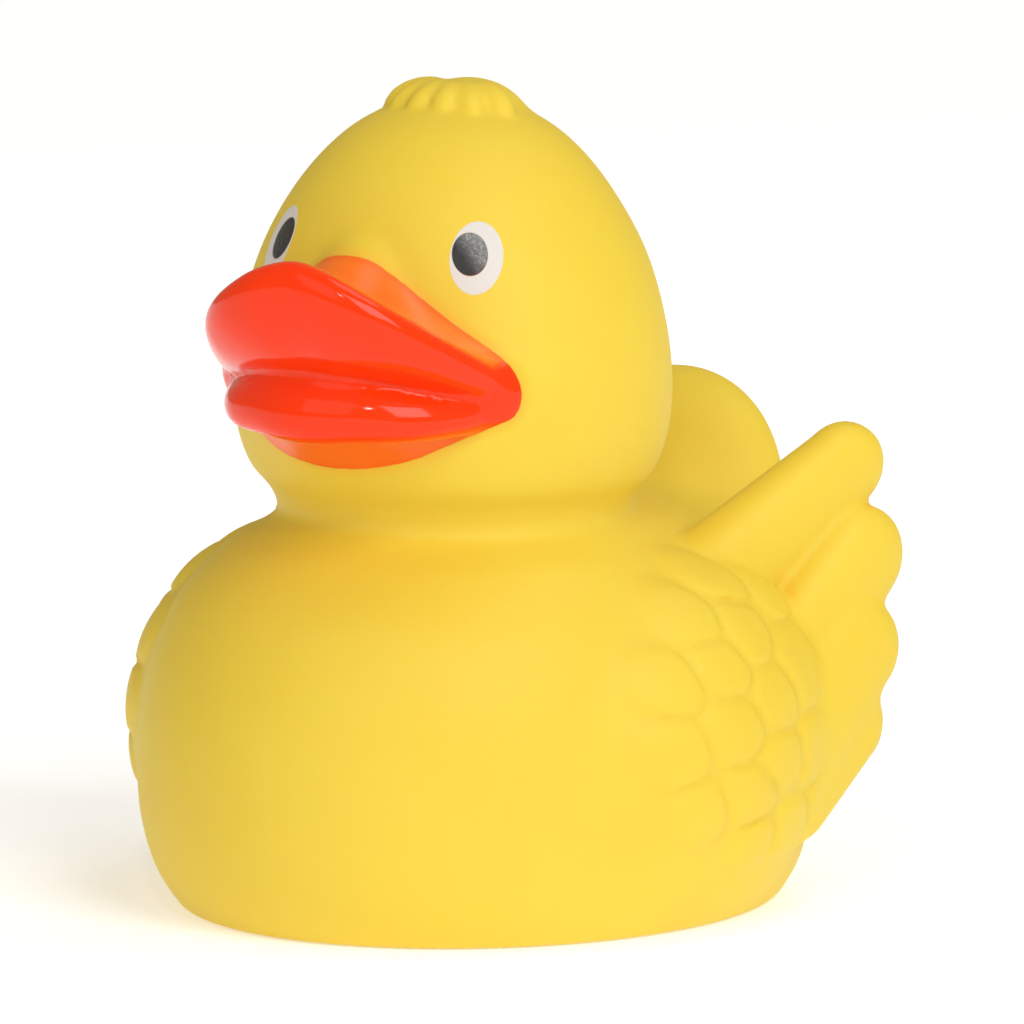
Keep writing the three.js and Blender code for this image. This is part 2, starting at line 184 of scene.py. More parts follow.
# The tuft on the head: a mound, and lobes that lean out from its line at these bearings.
MOUND = ((0, -4.4, 76.0), (4.7, 5.3, 3.1), (1, 0, 0), (0, 0, 1), 2.0)
LOBE_BEARINGS = (12, 37, 66)
LOBE_LINE, LOBE_REACH, LOBE_HEIGHT = -5.4, 4.0, 76.8
LOBE_SIZES, LOBE_DROOP, LOBE_BLEND = (3.6, 1.9, 2.3), -0.3, 0.35

# The bill's painted edge: bearing about the bill's line, height.
PAINT_EDGE = np.array([
    (0, 64.3), (8, 63.9), (16, 62.4), (26.7, 60.1), (37.3, 57.7), (45.7, 55.9), (50.5, 54.2),
    (52.5, 52.0), (51, 49.9), (46.6, 49.1), (41.4, 48.3), (32.9, 47.0), (22.4, 45.5),
    (10.4, 44.6), (0, 44.3),
])
PAINT_RADIUS = 18.5
# Short pieces from each of its points to the next, and the margin given to the rest of the skin.
EDGE_PIECES, FAR_OUTSIDE = 14, -9.0
# What stands further out than this, up to this bearing to either side, is lips, painted all over.
LIPS_REACH, LIPS_END = 20.5, 45
# The heights between which the bill's paint lies.
PAINT_HEIGHTS = (38, 70)
# Thin enamel behind the upper lip and under the lower: in the open, and what a closed place adds.
BEHIND_OPEN, BEHIND_CLOSED, UNDER_OPEN, UNDER_CLOSED = 0.6, 1.0, 0.5, 0.3
# The lengths over which it starts, and how far out and up from the lower lip's lowest edge it does.
THIN_START, THIN_RISE, UNDER_OUT, UNDER_UP = 1.5, 1.0, 0.8, 0.6

# The left eye: middle of the white, the way it faces, its two half sizes and tilt, then the pupil's
# place in the eye, half sizes and tilt, and how far its brown rim shows past it.
EYE_MIDDLE = (10.5, -20.5, 64.2)
EYE_BEARING, EYE_SLOPE = math.radians(36), math.radians(23)
EYE_SIZE, EYE_TILT = (2.52, 3.62), math.radians(9.7)
PUPIL_PLACE, PUPIL_SIZE, PUPIL_TILT = (-0.62, 0.35), (1.67, 2.08), math.radians(3)
RIM_PLACE = (PUPIL_PLACE[0] + 0.02, PUPIL_PLACE[1] - 0.1)
EYE_DEPTH = 4

# The inside: wall, the raised foot ring's width, the recess and the squeaker's hole.
WALL = 2.2
FOOT_RING = 4.5
RECESS = 1.5
HOLE_RADIUS = 5.5
# Where the recess's shape starts, and its upper corner: down from its top, in from its side.
BELOW_BASE = -2.0
RECESS_CORNER = ((0.6, 0.0), (0.2, 0.2), (0.0, 0.6))
# The hollow: its rows and the points round each, its second row's height above the first, the gap
# below the crown, the least half width there, and how far its lowest corner is drawn in.
HOLLOW_ROWS, HOLLOW_AROUND, FIRST_ROW, CROWN_GAP = 40, 72, 2, 1.4
CROWN_WIDTH, HOLLOW_CORNER = 1.0, 3.0

# Lowest and highest corners of the left half's space, and of the bill's part of it. Every other
# form is worked out as far as SPARE past its own size.
SPACE_LOW, SPACE_HIGH = (0.0, -45.0, -2.0), (42.0, 50.0, 84.0)
FACE_LOW, FACE_HIGH = (-1.0, -45.0, 38.0), (22.0, -8.0, 74.0)
SPARE = 2
# Distances are divided by slopes that are kept at least this steep.
LEAST_BODY_SLOPE, LEAST_FEATHER_SLOPE, LEAST_SKIN_SLOPE = 2, 0.5, 0.05
# How far outside the skin the point lies that tells how closed in a place is. That amount sets the
# painted shade in the vinyl's hollows and adds to the thin enamel.
CLOSED_REACH = 3.0

# Waves to the metre: clouds and cast grain of the vinyl, the sprayed edge, the stippled pupil, and
# slow ripples in the enamel. Then how deep the relief is, in metres.
CLOUDS, CAST_GRAIN, EDGE_WAVES, STIPPLE, RIPPLES = 60.0, 2600.0, 900.0, 3400.0, 160.0
GRAIN_DEPTH, STIPPLE_DEPTH, RIPPLE_DEPTH = 0.00003, 0.00016, 0.00008
# In millimetres: the painted edge's wobble, half the width over which each edge fades, the mist's
# reach, and how far in the enamel gathers.
EDGE_WOBBLE, PAINT_FADE, WHITE_FADE, PUPIL_FADE = 0.16, 0.07, 0.05, 0.04
MIST_REACH, GATHER_REACH = 1.3, 0.7
# Roughness of bare vinyl, and what clouds, enamel, thin enamel and print add or take away.
VINYL_ROUGH, CLOUD_ROUGH, ENAMEL_SMOOTH, THIN_ROUGH, PRINT_SMOOTH = 0.5, 0.06, 0.43, 0.36, 0.12


def nearest(first, second, blend):
    """Smooth union of two distances: the smaller less h*h*blend/4, h = 1 - |difference|/blend."""
    overlap = np.maximum(blend - np.abs(first - second), 0.0) / blend
    return np.minimum(first, second) - overlap * overlap * blend / 4


def common(first, second, blend):
    """Smooth intersection of two distances: the larger one, rounded over the blend."""
    return -nearest(-first, -second, blend)


def eased(amount):
    """From 0 to 1 with level ends: t*t*(3 - 2t)."""
    t = np.clip(amount, 0, 1)
    return t * t * (3 - 2 * t)


def between(at, knots, values):
    """Smooth curve through the knots: cubic pieces whose slopes are the table's differences."""
    slopes = np.gradient(values, knots)
    at = np.clip(at, knots[0], knots[-1])
    piece = np.clip(np.searchsorted(knots, at, side="right") - 1, 0, len(knots) - 2)
    width = knots[piece + 1] - knots[piece]
    u = (at - knots[piece]) / width
    near = (2 * u**3 - 3 * u**2 + 1) * values[piece] + (u**3 - 2 * u**2 + u) * width * slopes[piece]
    far = (3 * u**2 - 2 * u**3) * values[piece + 1] + (u**3 - u**2) * width * slopes[piece + 1]
    return near + far


def unit(vector):
    """The vector at length one."""
    vector = np.asarray(vector, float)
    return vector / np.linalg.norm(vector)


def axes(along, out):
    """Three unit columns: along, across and out, with out turned square to along."""
    along = unit(along)
    out = unit(np.asarray(out, float) - along * np.dot(out, along))
    return np.stack([along, np.cross(out, along), out], axis=1)


def round_distance(offset, sizes):
    """Distance to an egg with these half sizes: k*(k - 1)/k2, with k = |offset/size| and
    k2 = |offset/size^2|."""
    sizes = np.asarray(sizes, float)
    k = np.sqrt(((offset / sizes) ** 2).sum(-1))
    k2 = np.sqrt(((offset / sizes**2) ** 2).sum(-1))
    return k * (k - 1) / np.maximum(k2, 1e-6)


def egg(middle, sizes, along, out, blend):
    """A form: an egg in its own axes."""
    turn = axes(along, out)
    reach = max(sizes) + blend + SPARE
    middle = np.asarray(middle, float)

    def distance(p):
        return round_distance((p - middle) @ turn, sizes)

    return distance, blend, middle - reach, middle + reach


def feather(root, tip, root_radius, tip_radius):
    """A form: a flat bar with round ends, its radius going evenly from root to tip. With s the
    distance from its line in the feather's plane, w = height/flat and p the squareness, the reach
    is (s^p + w^p)^(1/p), and the distance is what the reach has over the radius, over its own
    slope."""
    root, tip = np.asarray(root, float), np.asarray(tip, float)
    length = np.linalg.norm(tip - root)
    turn = axes(tip - root, FEATHER_FACE)
    power = FEATHER_SQUARE

    def distance(p):
        q = (p - root) @ turn
        t = np.clip(q[..., 0] / length, 0, 1)
        radius = root_radius + (tip_radius - root_radius) * t
        level = np.hypot(q[..., 0] - t * length, q[..., 1])
        lift = np.abs(q[..., 2]) / FEATHER_FLAT
        reach = np.maximum((level**power + lift**power) ** (1 / power), 1e-6)
        steep = np.hypot((level / reach) ** (power - 1),
                         (lift / reach) ** (power - 1) / FEATHER_FLAT)
        return (reach - radius) / np.maximum(steep, LEAST_FEATHER_SLOPE)

    margin = max(root_radius, tip_radius) + FEATHER_BLEND + SPARE
    return distance, FEATHER_BLEND, np.minimum(root, tip) - margin, np.maximum(root, tip) + margin


def face_bar(rows, blend):
    """A form: an oval bar bent round the face. At each bearing about the bill's line the rows give
    its place and lean, and the distance is that of the oval in the upright plane through the line.
    The second row is mirrored before the first, so that the bar crosses the middle level."""
    table = np.array(rows, float)
    mirrored = table[1] * (-1, 1, 1, 1, 1, 1)
    bearing, distance, height, thick, tall, lean = np.vstack([mirrored, table]).T

    def bent(p):
        x, y, z = p[..., 0], p[..., 1] - BILL_LINE, p[..., 2]
        angle = np.degrees(np.arctan2(np.abs(x), -y))
        turn = np.radians(between(angle, bearing, lean))
        u = np.hypot(x, y) - between(angle, bearing, distance)
        w = z - between(angle, bearing, height)
        u, w = u * np.cos(turn) + w * np.sin(turn), w * np.cos(turn) - u * np.sin(turn)
        sizes = np.stack([between(angle, bearing, thick), between(angle, bearing, tall)], -1)
        oval = round_distance(np.stack([u, w], -1), sizes)
        past = np.maximum(angle - bearing[-1], 0) * BAR_END
        return np.where(past > 0, np.hypot(np.maximum(oval, 0), past), oval)

    return bent, blend, np.array(FACE_LOW), np.array(FACE_HIGH)


def together(first, second, blend):
    """A form: two forms joined over their own blend, in the first one's reach."""
    return lambda p: nearest(first[0](p), second[0](p), blend), *first[1:]


def body_distance(p):
    """Distance to the lofted body and head: (x^2 + v^2 - width^2)/slope, where v is y about the
    section's middle over its length ratio, and the width's square runs smoothly through the
    sections."""
    x, y, z = p[..., 0], p[..., 1], p[..., 2]
    height, square = SECTIONS[:, 0], SECTIONS[:, 1] ** 2
    fall = (square[-1] - square[-2]) / (height[-1] - height[-2])

    def area(at):
        return np.where(at < height[-1], between(at, height, square), (at - height[-1]) * fall)

    ratio = between(z, height, SECTIONS[:, 3])
    v = (y - between(z, height, SECTIONS[:, 2])) / ratio
    step = 0.05
    change = (area(z + step) - area(z - step)) / (2 * step)
    steep = np.sqrt(4 * x * x + 4 * v * v / ratio**2 + change**2 + LEAST_BODY_SLOPE**2)
    return (x * x + v * v - area(z)) / steep


def covert_height(p):
    """How far the coverts stand off the wing. Each covert is an oval, and level = |offset/size| is
    1 on it. With the two lowest levels first and second, the height is
    fade(first) * crease(second - first) * dome(first)."""
    x, y, z = p[..., 0], p[..., 1], p[..., 2]
    first, second = (np.full(x.shape, 9.0) for _ in range(2))
    for along, up, long, wide in COVERTS:
        u, w = (y - along) / long, (z - up) / wide
        level = np.hypot(u, w)
        nearer = level < first
        second = np.where(nearer, first, np.minimum(second, level))
        first = np.where(nearer, level, first)
    crease = CREASE_HEIGHT + (1 - CREASE_HEIGHT) * eased((second - first) / COVERT_CREASE)
    dome = DOME_HEIGHT - DOME_FALL * first**2
    fade = eased((COVERT_EDGE - first) / COVERT_FADE)
    fade *= np.clip((x - FLANK_START) / FLANK_FULL, 0, 1)
    return COVERT_RISE * fade * crease * dome


def tuft_lobe(bearing):
    """A form: one lobe of the tuft, an egg whose long way points out and a little down at its
    bearing."""
    ahead = np.array((math.sin(math.radians(bearing)), -math.cos(math.radians(bearing)), 0.0))
    middle = ahead * LOBE_REACH + (0, LOBE_LINE, LOBE_HEIGHT)
    return egg(middle, LOBE_SIZES, ahead + (0, 0, LOBE_DROOP), (0, 0, 1), LOBE_BLEND)


def mouth_end():
    """A form: the egg that closes the mouth at its corner."""
    bearing, distance, height = MOUTH_END
    turn = math.radians(bearing)
    middle = (distance * math.sin(turn), BILL_LINE - distance * math.cos(turn), height)
    level, out = (math.cos(turn), math.sin(turn), 0), (math.sin(turn), -math.cos(turn), 0)
    return egg(middle, MOUTH_END_SIZES, level, out, MOUTH_END_BLEND)


RUMP_AND_PAD = (egg(*RUMP), egg(*TAIL), egg(*WING_PAD))
DETAILS = (
    *(feather(*row) for row in FEATHERS),
    face_bar(BILL_ROOT, ROOT_BLEND),
    face_bar(UPPER_LIP, UPPER_BLEND),
    together(face_bar(LOWER_LIP, LOWER_BLEND), face_bar(MOUTH_EDGE, 0), EDGE_BLEND),
    mouth_end(),
    egg(*MOUND),
    *(tuft_lobe(bearing) for bearing in LOBE_BEARINGS),
)


def duck_distance(points):
    """Distance from points to the duck's outside, less than nothing inside: body and head, then
    every form joined to them in turn on the left and mirrored, the coverts raised off the wing, and
    the base cut level."""
    p = points.copy()
    p[..., 0] = np.abs(p[..., 0])
    d = body_distance(p)

    def join(forms):
        for distance, blend, low, high in forms:
            near = np.all((p >= low) & (p <= high), axis=-1)
            if near.any():
                d[near] = nearest(d[near], distance(p[near]), blend)

    join(RUMP_AND_PAD)
    flank = (p[..., 0] > FLANK_START) & (np.abs(d) < FLANK_DEPTH)
    if flank.any():
        d[flank] -= covert_height(p[flank])
    join(DETAILS)
    return common(d, -points[..., 2], BASE_CORNER)


def slope(points, step=0.02):
    """Rate of change of duck_distance along x, y and z."""
    ways = np.eye(3) * step
    change = [duck_distance(points + way) - duck_distance(points - way) for way in ways]
    return np.stack(change, -1) / (2 * step)


def skin_surface(step):
    """Points and four-sided faces of the surface duck_distance = 0.

    Wing feathers, bill and tuft blend into the body and overhang it, so no grid of two parameters
    can carry the skin in one piece. Instead the distance is sampled on a cubic grid, the left half
    mirrored. Each grid cell that the surface crosses gets one point, the mean of the crossings on
    its edges, each crossed edge one face between its four cells, and the points then slide along
    the slope onto the surface, in three rounds of at most half a step.
    """
    low, high = np.array(SPACE_LOW), np.array(SPACE_HIGH)
    counts = np.ceil((high - low) / step).astype(int) + 1
    along = [low[a] + np.arange(counts[a]) * step for a in range(3)]
    half = duck_distance(np.stack(np.meshgrid(*along, indexing="ij"), -1))
    value = np.concatenate([half[:0:-1], half])
    along[0] = np.concatenate([-along[0][:0:-1], along[0]])
    inside = value < 0
    cells = np.array(value.shape) - 1
    crossings, owners, faces = [], [], []
    for a in range(3):
        near, far = [slice(None)] * 3, [slice(None)] * 3
        near[a], far[a] = slice(0, -1), slice(1, None)
        near, far = tuple(near), tuple(far)
        crossed = inside[near] != inside[far]
        index = np.argwhere(crossed)
        first, second = value[near][crossed], value[far][crossed]
        point = np.stack([along[b][index[:, b]] for b in range(3)], -1)
        point[:, a] += first / (first - second) * step
        b, c = (a + 1) % 3, (a + 2) % 3
        ring = []
        for back_b, back_c in ((0, 0), (1, 0), (1, 1), (0, 1)):
            cell = index.copy()
            cell[:, b] -= back_b
            cell[:, c] -= back_c
            ring.append((cell[:, 0] * cells[1] + cell[:, 1]) * cells[2] + cell[:, 2])
        crossings += [point] * 4
        owners += ring
        ring = np.stack(ring, -1)
        ring[first > 0] = ring[first > 0][:, ::-1]
        faces.append(ring)
    names, which = np.unique(np.concatenate(owners), return_inverse=True)
    crossings = np.concatenate(crossings)
    share = np.bincount(which)
    points = np.stack([np.bincount(which, crossings[:, b]) / share for b in range(3)], -1)
    for _ in range(3):
        way = slope(points)
        steep = np.maximum((way * way).sum(-1), LEAST_SKIN_SLOPE)
        move = -way * (duck_distance(points) / steep)[:, None]
        long = np.linalg.norm(move, axis=1, keepdims=True)
        points += move * np.minimum(1, 0.5 * step / np.maximum(long, 1e-9))
    return points, np.searchsorted(names, np.concatenate(faces))


def closed_rows(rows):
    """A closed surface from rows of points by angle: (row, angle) gives the point, neighbours make
    four-sided faces, and the first and last rows close in one point each."""
    rows = np.asarray(rows, float)
    count, around = rows.shape[:2]
    index = np.arange(count * around).reshape(count, around)
    right = np.roll(index, -1, axis=1)
    quads = np.stack([index[:-1], right[:-1], right[1:], index[1:]], -1).reshape(-1, 4)
    ends = count * around + np.arange(2)
    points = np.concatenate([rows.reshape(-1, 3), rows[:1].mean(1), rows[-1:].mean(1)])
    low = np.stack([right[0], index[0], np.full(around, ends[0])], -1)
    high = np.stack([index[-1], right[-1], np.full(around, ends[1])], -1)
    return points, quads.tolist() + low.tolist() + high.tolist()


def hollow_surface(sizes):
    """The space inside the skin, as rows of ovals: the recess in the base, the squeaker's hole,
    then the body and head drawn in by the wall. Each of those rows has the sections' width less
    wall*sqrt(1 + slope^2)."""
    wall, recess, hole = sizes.wall / MM, sizes.recess / MM, sizes.hole_radius / MM
    around = np.linspace(0, 2 * math.pi, HOLLOW_AROUND, endpoint=False)
    heights, widths = SECTIONS[:, 0], SECTIONS[:, 1]
    base_y, ratio = (between(0.0, heights, SECTIONS[:, c]) for c in (2, 3))
    half = between(0.0, heights, widths) - FOOT_RING
    long = between(0.0, heights, widths) * ratio - FOOT_RING
    rows = [(BELOW_BASE, half, long, base_y)]
    for down, inward in RECESS_CORNER:
        rows.append((recess - down, half - inward, long - inward, base_y))
    rows += [(recess, hole, hole, 0.0), (recess + wall, hole, hole, 0.0)]
    start, crown = recess + wall, SECTIONS[-1, 0] - wall - CROWN_GAP
    levels = np.concatenate([[start], np.linspace(start + FIRST_ROW, crown, HOLLOW_ROWS)])
    width = np.sqrt(between(levels, heights, widths**2))
    lean = np.gradient(width, levels)
    inner = np.maximum(width - wall * np.sqrt(1 + lean**2), CROWN_WIDTH)
    inner[0] -= HOLLOW_CORNER
    middle, stretch = (between(levels, heights, SECTIONS[:, c]) for c in (2, 3))
    rows += list(zip(levels, inner, inner * stretch, middle))
    z, wide, deep, y = (np.array(column)[:, None] for column in zip(*rows))
    grid = np.stack([wide * np.cos(around), y + deep * np.sin(around), z + 0 * around], -1)
    return closed_rows(grid)


def paint_margin(points):
    """How far each point lies inside the bill's painted edge, in millimetres, less than nothing
    outside.

    The face is unrolled: along = bearing * PAINT_RADIUS, up = height. The edge is a closed smooth
    curve through PAINT_EDGE and its mirror, the size is the distance to the nearest of its short
    straight pieces, and the sign counts how many of them a line to the side crosses. What stands
    further out than LIPS_REACH is inside as well."""
    half = PAINT_EDGE * (math.radians(1) * PAINT_RADIUS, 1)
    loop = np.concatenate([half, half[-2:0:-1] * (-1, 1)])
    t = np.arange(-3, len(loop) + 4)
    knots = loop[t % len(loop)]
    fine = np.linspace(0, len(loop), EDGE_PIECES * len(loop), endpoint=False)
    edge = np.stack([between(fine, t.astype(float), knots[:, a]) for a in (0, 1)], -1)
    bearing = np.arctan2(points[:, 0], BILL_LINE - points[:, 1])
    flat = np.stack([bearing * PAINT_RADIUS, points[:, 2]], -1)
    start, run = edge, np.roll(edge, -1, axis=0) - edge
    margin = np.full(len(points), FAR_OUTSIDE)
    lowest, highest = PAINT_HEIGHTS
    near = (points[:, 1] < BILL_LINE) & (points[:, 2] > lowest) & (points[:, 2] < highest)
    place = flat[near][:, None, :] - start
    share = np.clip((place * run).sum(-1) / (run * run).sum(-1), 0, 1)
    gap = np.sqrt(((place - share[..., None] * run) ** 2).sum(-1).min(-1))
    side, up = flat[near][:, None, 0], flat[near][:, None, 1]
    spans = (up > start[:, 1]) != (up > (start + run)[:, 1])
    cut = start[:, 0] + (up - start[:, 1]) * run[:, 0] / np.where(run[:, 1] == 0, 1, run[:, 1])
    crossed = spans & (side < cut)
    margin[near] = np.where(crossed.sum(-1) % 2 == 1, gap, -gap)
    lips = near & (np.abs(bearing) < math.radians(LIPS_END))
    reach = np.hypot(points[:, 0], points[:, 1] - BILL_LINE)
    margin[lips] = np.maximum(margin[lips], reach[lips] - LIPS_REACH)
    return margin


def hollow_amount(points, ways, reach):
    """How closed in each point is, from 0 in the open: 1 - distance/reach at the point that lies
    reach outside it."""
    return np.clip(1 - duck_distance(points + ways * reach) / reach, 0, 1)


def thin_paint(points, closed):
    """How thin the enamel lies, from 0 to 1: behind the upper lip's rim and under the lower lip,
    more where the place is closed in. Behind and under are told by the lips' own distance and
    height at the point's bearing."""
    bearing = np.degrees(np.arctan2(np.abs(points[:, 0]), BILL_LINE - points[:, 1]))
    reach = np.hypot(points[:, 0], points[:, 1] - BILL_LINE)

    def ends(rows):
        """The reach and height of a lip's upper edge, then of its lower edge, at each point's
        bearing."""
        at, distance, height, _, tall, lean = np.array(rows, float).T
        along, up = tall * np.sin(np.radians(-lean)), tall * np.cos(np.radians(lean))
        columns = (distance + along, height + up, distance - along, height - up)
        return (between(bearing, at, column) for column in columns)

    rim_reach, rim_height, mouth_reach, mouth_height = ends(UPPER_LIP)
    lift = points[:, 2] - mouth_height
    share = np.clip(lift / (rim_height - mouth_height), 0, 1)
    lip_reach = mouth_reach + (rim_reach - mouth_reach) * share
    behind = eased((lip_reach - reach) / THIN_START) * eased(lift / THIN_RISE)
    _, _, chin_reach, chin_height = ends(LOWER_LIP)
    under = (eased((chin_height + UNDER_UP - points[:, 2]) / THIN_START)
             * eased((chin_reach + UNDER_OUT - reach) / THIN_START))
    behind *= BEHIND_OPEN + BEHIND_CLOSED * closed
    under *= UNDER_OPEN + UNDER_CLOSED * closed
    return np.clip(behind + under, 0, 1)


# ---------------------------------------------------------------- meshes

def new_piece(name, points, faces, smooth=True):
    """A mesh object at the origin from points in metres."""
    mesh = bpy.data.meshes.new(name)
    faces = faces if isinstance(faces, list) else faces.tolist()
    mesh.from_pydata(np.asarray(points).tolist(), [], faces)
    mesh.validate()
    mesh.polygons.foreach_set("use_smooth", [smooth] * len(mesh.polygons))
    piece = bpy.data.objects.new(name, mesh)
    bpy.context.scene.collection.objects.link(piece)
    return piece


def points_of(mesh):
    """The mesh's points as rows of x, y, z."""
    co = np.empty(len(mesh.vertices) * 3)
    mesh.vertices.foreach_get("co", co)
    return co.reshape(-1, 3)


def cut_out(piece, cutter):
    """Takes the cutter's space out of the piece for good."""
    cut = piece.modifiers.new("inside", "BOOLEAN")
    cut.operation = "DIFFERENCE"
    cut.solver = "MANIFOLD"
    cut.object = cutter
    before = len(piece.data.polygons)
    depsgraph = bpy.context.evaluated_depsgraph_get()
    whole = bpy.data.meshes.new_from_object(piece.evaluated_get(depsgraph))
    piece.modifiers.clear()
    if len(whole.polygons) in (0, before):
        raise RuntimeError(f"the inside of {piece.name} could not be cut out")
    whole.materials.clear()
    old, piece.data = piece.data, whole
    bpy.data.meshes.remove(old)
    bpy.data.meshes.remove(cutter.data)


def give_amounts(mesh, name, values):
    """Puts one number for each point on the mesh, for the material to read."""
    amounts = mesh.attributes.new(name, "FLOAT", "POINT")
    amounts.data.foreach_set("value", np.asarray(values, np.float32))


# ---------------------------------------------------------------- materials

class Wire:
    """One output of a material's nodes. + - * / with another output or a number add Math nodes."""

    def __init__(self, finish, socket):
        self.finish = finish
        self.socket = socket

    def maths(self, operation, *others):
        """One Math node on this output and the others, in their order."""
        inputs = dict(enumerate((self, *others)))
        return self.finish.node("ShaderNodeMath", {"operation": operation}, inputs)

    def __add__(self, other):
        return self.maths("ADD", other)

    __radd__ = __add__

    def __mul__(self, other):
        return self.maths("MULTIPLY", other)

    __rmul__ = __mul__

    def __sub__(self, other):
        return self.maths("SUBTRACT", other)

    def __rsub__(self, other):
        return self.finish.node("ShaderNodeMath", {"operation": "SUBTRACT"}, {0: other, 1: self})

    def __truediv__(self, other):
        return self.maths("DIVIDE", other)

    def __pow__(self, other):
        return self.maths("POWER", other)

    def eased(self, start, end):
        """0 before start, 1 past end, smooth between."""
        return self.finish.node("ShaderNodeMapRange", {"interpolation_type": "SMOOTHSTEP"},
                                {"Value": self, "From Min": start, "From Max": end})


class Finish:
    """A material built node by node."""

    def __init__(self, name):
        self.material = bpy.data.materials.new(name)
        self.material.use_nodes = True
        self.tree = self.material.node_tree
        self.tree.nodes.clear()

    def node(self, kind, settings=None, inputs=None, output=0):
        """Adds a node, its settings first, then its sockets' values or wires."""
        made = self.tree.nodes.new(kind)
        for key, value in (settings or {}).items():
            setattr(made, key, value)
        for key, value in (inputs or {}).items():
            socket = made.inputs[key]
            if isinstance(value, Wire):
                self.tree.links.new(value.socket, socket)
            else:
                socket.default_value = (*value, 1) if socket.type == "RGBA" else value
        return Wire(self, made.outputs[output]) if made.outputs else None

    def amount(self, name):
        """A number that the mesh's points carry."""
        return self.node("ShaderNodeAttribute", {"attribute_name": name}, output="Fac")

    def mixed(self, first, second, factor):
        """Colour between first and second."""
        inputs = {0: factor, 6: first, 7: second}
        return self.node("ShaderNodeMix", {"data_type": "RGBA"}, inputs, output=2)

    def place(self):
        """Object coordinates in metres."""
        return self.node("ShaderNodeTexCoord", output="Object")

    def grain(self, place, scale, detail=2.0, roughness=0.5):
        """Noise from 0 to 1 with this many waves to the metre."""
        inputs = {"Vector": place, "Scale": scale, "Detail": detail, "Roughness": roughness}
        return self.node("ShaderNodeTexNoise", inputs=inputs)

    def along(self, vector, axis):
        """A vector's part along X, Y or Z."""
        return self.node("ShaderNodeSeparateXYZ", inputs={0: vector}, output=axis)

    def bumped(self, height, distance, normal=None):
        """A normal tilted by height, whose full range stands for distance metres."""
        inputs = {"Height": height, "Distance": distance, "Strength": 1.0}
        if normal:
            inputs["Normal"] = normal
        return self.node("ShaderNodeBump", inputs=inputs)

    def shade(self, **inputs):
        """The shader, with underscores in the names standing for spaces."""
        named = {key.replace("_", " "): value for key, value in inputs.items()}
        surface = self.node("ShaderNodeBsdfPrincipled", inputs=named)
        self.node("ShaderNodeOutputMaterial", inputs={"Surface": surface})
        return self.material


def eye_turn():
    """The left eye's axes: level to the rear, up the face, and out of it."""
    level = Vector((math.cos(EYE_BEARING), math.sin(EYE_BEARING), 0))
    ahead = Vector((math.sin(EYE_BEARING), -math.cos(EYE_BEARING), 0))
    out = ahead * math.cos(EYE_SLOPE) + Vector((0, 0, math.sin(EYE_SLOPE)))
    return Matrix((level, out.cross(level), out)).transposed().to_euler()


def oval_gap(place, middle, half_sizes, tilt):
    """Distance in millimetres outside an oval in the eye's plane, less than nothing inside."""
    finish = place.finish
    flat = finish.node("ShaderNodeMapping", {"vector_type": "TEXTURE"}, {
        "Vector": place, "Location": (middle[0] * MM, middle[1] * MM, 0), "Rotation": (0, 0, -tilt),
        "Scale": (half_sizes[0] * MM, half_sizes[1] * MM, 1)})
    level, up = (finish.along(flat, axis) for axis in "XY")
    return ((level * level + up * up) ** 0.5 - 1) * min(half_sizes)


